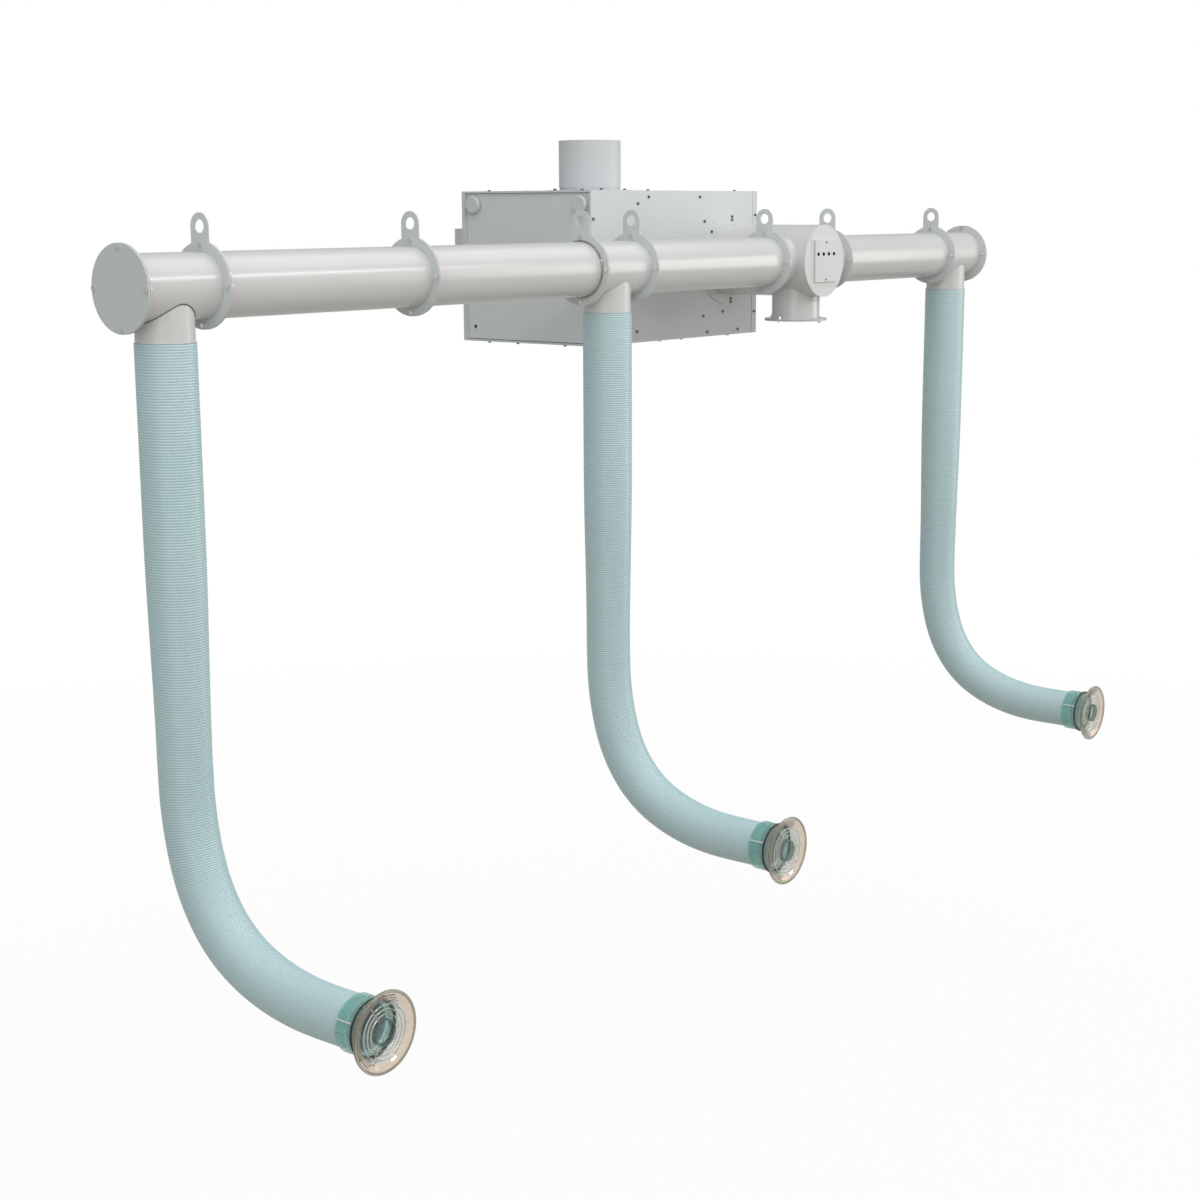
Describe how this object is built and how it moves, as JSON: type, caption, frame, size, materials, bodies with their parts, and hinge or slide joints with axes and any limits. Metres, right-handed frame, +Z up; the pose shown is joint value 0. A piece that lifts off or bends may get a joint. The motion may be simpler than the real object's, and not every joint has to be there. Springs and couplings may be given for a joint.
{
  "type": "fume extraction arm",
  "caption": "Ceiling-hung fume extraction manifold: flanged main duct with flexible hose arms and clear nozzles, hub with push-buttons, and a fan and filter cabinet.",
  "frame": {"origin": "centre of the fourth hanger eye from the left, above the main duct just right of the middle hose", "axes": "+X along the main duct to the hub's side, +Y to the cabinet, +Z up; the nozzles point to -Y"},
  "size_m": [3.09, 1.2306, 1.6945],
  "materials": {
    "duct_paint": "satin",
    "cabinet_paint": "satin",
    "flange_grey": "satin",
    "cap_grey": "satin",
    "spigot_pipe": "satin",
    "zinc_steel": "brushed",
    "dark_steel": "satin",
    "seal_rubber": "matte",
    "door_foam": "matte",
    "hose_teal": "semi-matte",
    "clear_plastic": "clear",
    "panel_white": "satin",
    "button_black": "matte",
    "board_green": "matte",
    "motor_dark": "satin",
    "filter_paper": "matte",
    "prefilter_mat": "matte"
  },
  "bodies": {
    "manifold": {"main_duct_a": "duct_paint", "main_duct_b": "duct_paint", "main_duct_c": "duct_paint", "main_duct_d": "duct_paint", "tee_left": "duct_paint", "tee_middle": "duct_paint", "tee_right": "duct_paint", "spigot_left": "spigot_pipe", "spigot_middle": "spigot_pipe", "spigot_right": "spigot_pipe", "hanger_ring_1": "flange_grey", "hanger_ring_2": "flange_grey", "hanger_ring_3": "flange_grey", "hanger_ring_4": "flange_grey", "hanger_ring_5": "flange_grey", "hanger_ring_6": "flange_grey", "hanger_ring_7": "flange_grey", "flange_gaskets": "seal_rubber", "flange_screws": "zinc_steel", "end_caps": "cap_grey", "hub_body": "duct_paint", "hub_front_plate": "panel_white", "control_panel": "panel_white", "control_board": "board_green", "blanking_plate": "flange_grey", "inlet_collar": "cabinet_paint", "cabinet_shell": "cabinet_paint", "cabinet_top": "cabinet_paint", "end_cover": "cabinet_paint", "exhaust_collar": "cabinet_paint", "control_box": "cabinet_paint", "sheet_screws": "dark_steel", "filter_rails": "zinc_steel", "prefilter": "prefilter_mat", "main_filter": "filter_paper", "plenum_partition": "cabinet_paint", "fan_deck": "cabinet_paint", "motor_bridge": "zinc_steel", "fan_motor": "motor_dark"},
    "door": {"service_door": "cabinet_paint", "door_gasket": "door_foam"},
    "front_knob": {"knob_front": "cabinet_paint"},
    "rear_knob": {"knob_rear": "cabinet_paint"},
    "rotor": {"impeller": "motor_dark"},
    "key_1": {"button_1": "button_black"},
    "key_2": {"button_2": "button_black"},
    "key_3": {"button_3": "button_black"},
    "key_4": {"button_4": "button_black"},
    "drop_left": {"hose_drop_left": "hose_teal"},
    "arm_end_left": {"hose_bend_left": "hose_teal", "nozzle_cuff_left": "clear_plastic"},
    "bell_left": {"nozzle_left": "clear_plastic"},
    "drop_middle": {"hose_drop_middle": "hose_teal"},
    "arm_end_middle": {"hose_bend_middle": "hose_teal", "nozzle_cuff_middle": "clear_plastic"},
    "bell_middle": {"nozzle_middle": "clear_plastic"},
    "drop_right": {"hose_drop_right": "hose_teal"},
    "arm_end_right": {"hose_bend_right": "hose_teal", "nozzle_cuff_right": "clear_plastic"},
    "bell_right": {"nozzle_right": "clear_plastic"}
  },
  "joints": [
    {"name": "hose_swivel_left", "type": "hinge", "parent": "manifold", "child": "drop_left", "pos_m": [-1.3855, 0, -0.2085], "axis": [0, 0, 1], "range_deg": [-180, 180]},
    {"name": "hose_bend_left", "type": "hinge", "parent": "drop_left", "child": "arm_end_left", "pos_m": [-1.3855, -0.1, -1.3265], "axis": [1, 0, 0], "range_deg": [-40, 55], "deforming": ["hose_bend_left"]},
    {"name": "nozzle_twist_left", "type": "hinge", "parent": "arm_end_left", "child": "bell_left", "pos_m": [-1.3855, -0.4916, -1.4145], "axis": [0, -1, 0], "range_deg": [-180, 180]},
    {"name": "hose_swivel_middle", "type": "hinge", "parent": "manifold", "child": "drop_middle", "pos_m": [-0.0915, 0, -0.2085], "axis": [0, 0, 1], "range_deg": [-180, 180]},
    {"name": "hose_bend_middle", "type": "hinge", "parent": "drop_middle", "child": "arm_end_middle", "pos_m": [-0.0915, -0.1, -1.3265], "axis": [1, 0, 0], "range_deg": [-40, 55], "deforming": ["hose_bend_middle"]},
    {"name": "nozzle_twist_middle", "type": "hinge", "parent": "arm_end_middle", "child": "bell_middle", "pos_m": [-0.0915, -0.4916, -1.4145], "axis": [0, -1, 0], "range_deg": [-180, 180]},
    {"name": "hose_swivel_right", "type": "hinge", "parent": "manifold", "child": "drop_right", "pos_m": [1.5005, 0, -0.2085], "axis": [0, 0, 1], "range_deg": [-180, 180]},
    {"name": "hose_bend_right", "type": "hinge", "parent": "drop_right", "child": "arm_end_right", "pos_m": [1.5005, -0.1, -1.3265], "axis": [1, 0, 0], "range_deg": [-40, 55], "deforming": ["hose_bend_right"]},
    {"name": "nozzle_twist_right", "type": "hinge", "parent": "arm_end_right", "child": "bell_right", "pos_m": [1.5005, -0.4916, -1.4145], "axis": [0, -1, 0], "range_deg": [-180, 180]},
    {"name": "door_hinge", "type": "hinge", "parent": "manifold", "child": "door", "pos_m": [0.1345, 0.441, -0.3009], "axis": [0, -1, 0], "range_deg": [0, 90]},
    {"name": "front_knob_turn", "type": "hinge", "parent": "door", "child": "front_knob", "pos_m": [0.1315, 0.259, 0.0385], "axis": [1, 0, 0], "range_deg": [0, 90]},
    {"name": "rear_knob_turn", "type": "hinge", "parent": "door", "child": "rear_knob", "pos_m": [0.1315, 0.616, 0.0385], "axis": [1, 0, 0], "range_deg": [0, 90]},
    {"name": "fan_spin", "type": "hinge", "parent": "manifold", "child": "rotor", "pos_m": [0.3875, 0.441, -0.0485], "axis": [0, 0, 1], "continuous": true},
    {"name": "button_1_press", "type": "slide", "parent": "manifold", "child": "key_1", "axis": [0, 1, 0], "range_m": [0, 0.001], "stiffness_N_per_m": 500, "springref_m": -0.002},
    {"name": "button_2_press", "type": "slide", "parent": "manifold", "child": "key_2", "axis": [0, 1, 0], "range_m": [0, 0.001], "stiffness_N_per_m": 500, "springref_m": -0.002},
    {"name": "button_3_press", "type": "slide", "parent": "manifold", "child": "key_3", "axis": [0, 1, 0], "range_m": [0, 0.001], "stiffness_N_per_m": 500, "springref_m": -0.002},
    {"name": "button_4_press", "type": "slide", "parent": "manifold", "child": "key_4", "axis": [0, 1, 0], "range_m": [0, 0.001], "stiffness_N_per_m": 500, "springref_m": -0.002}
  ]
}
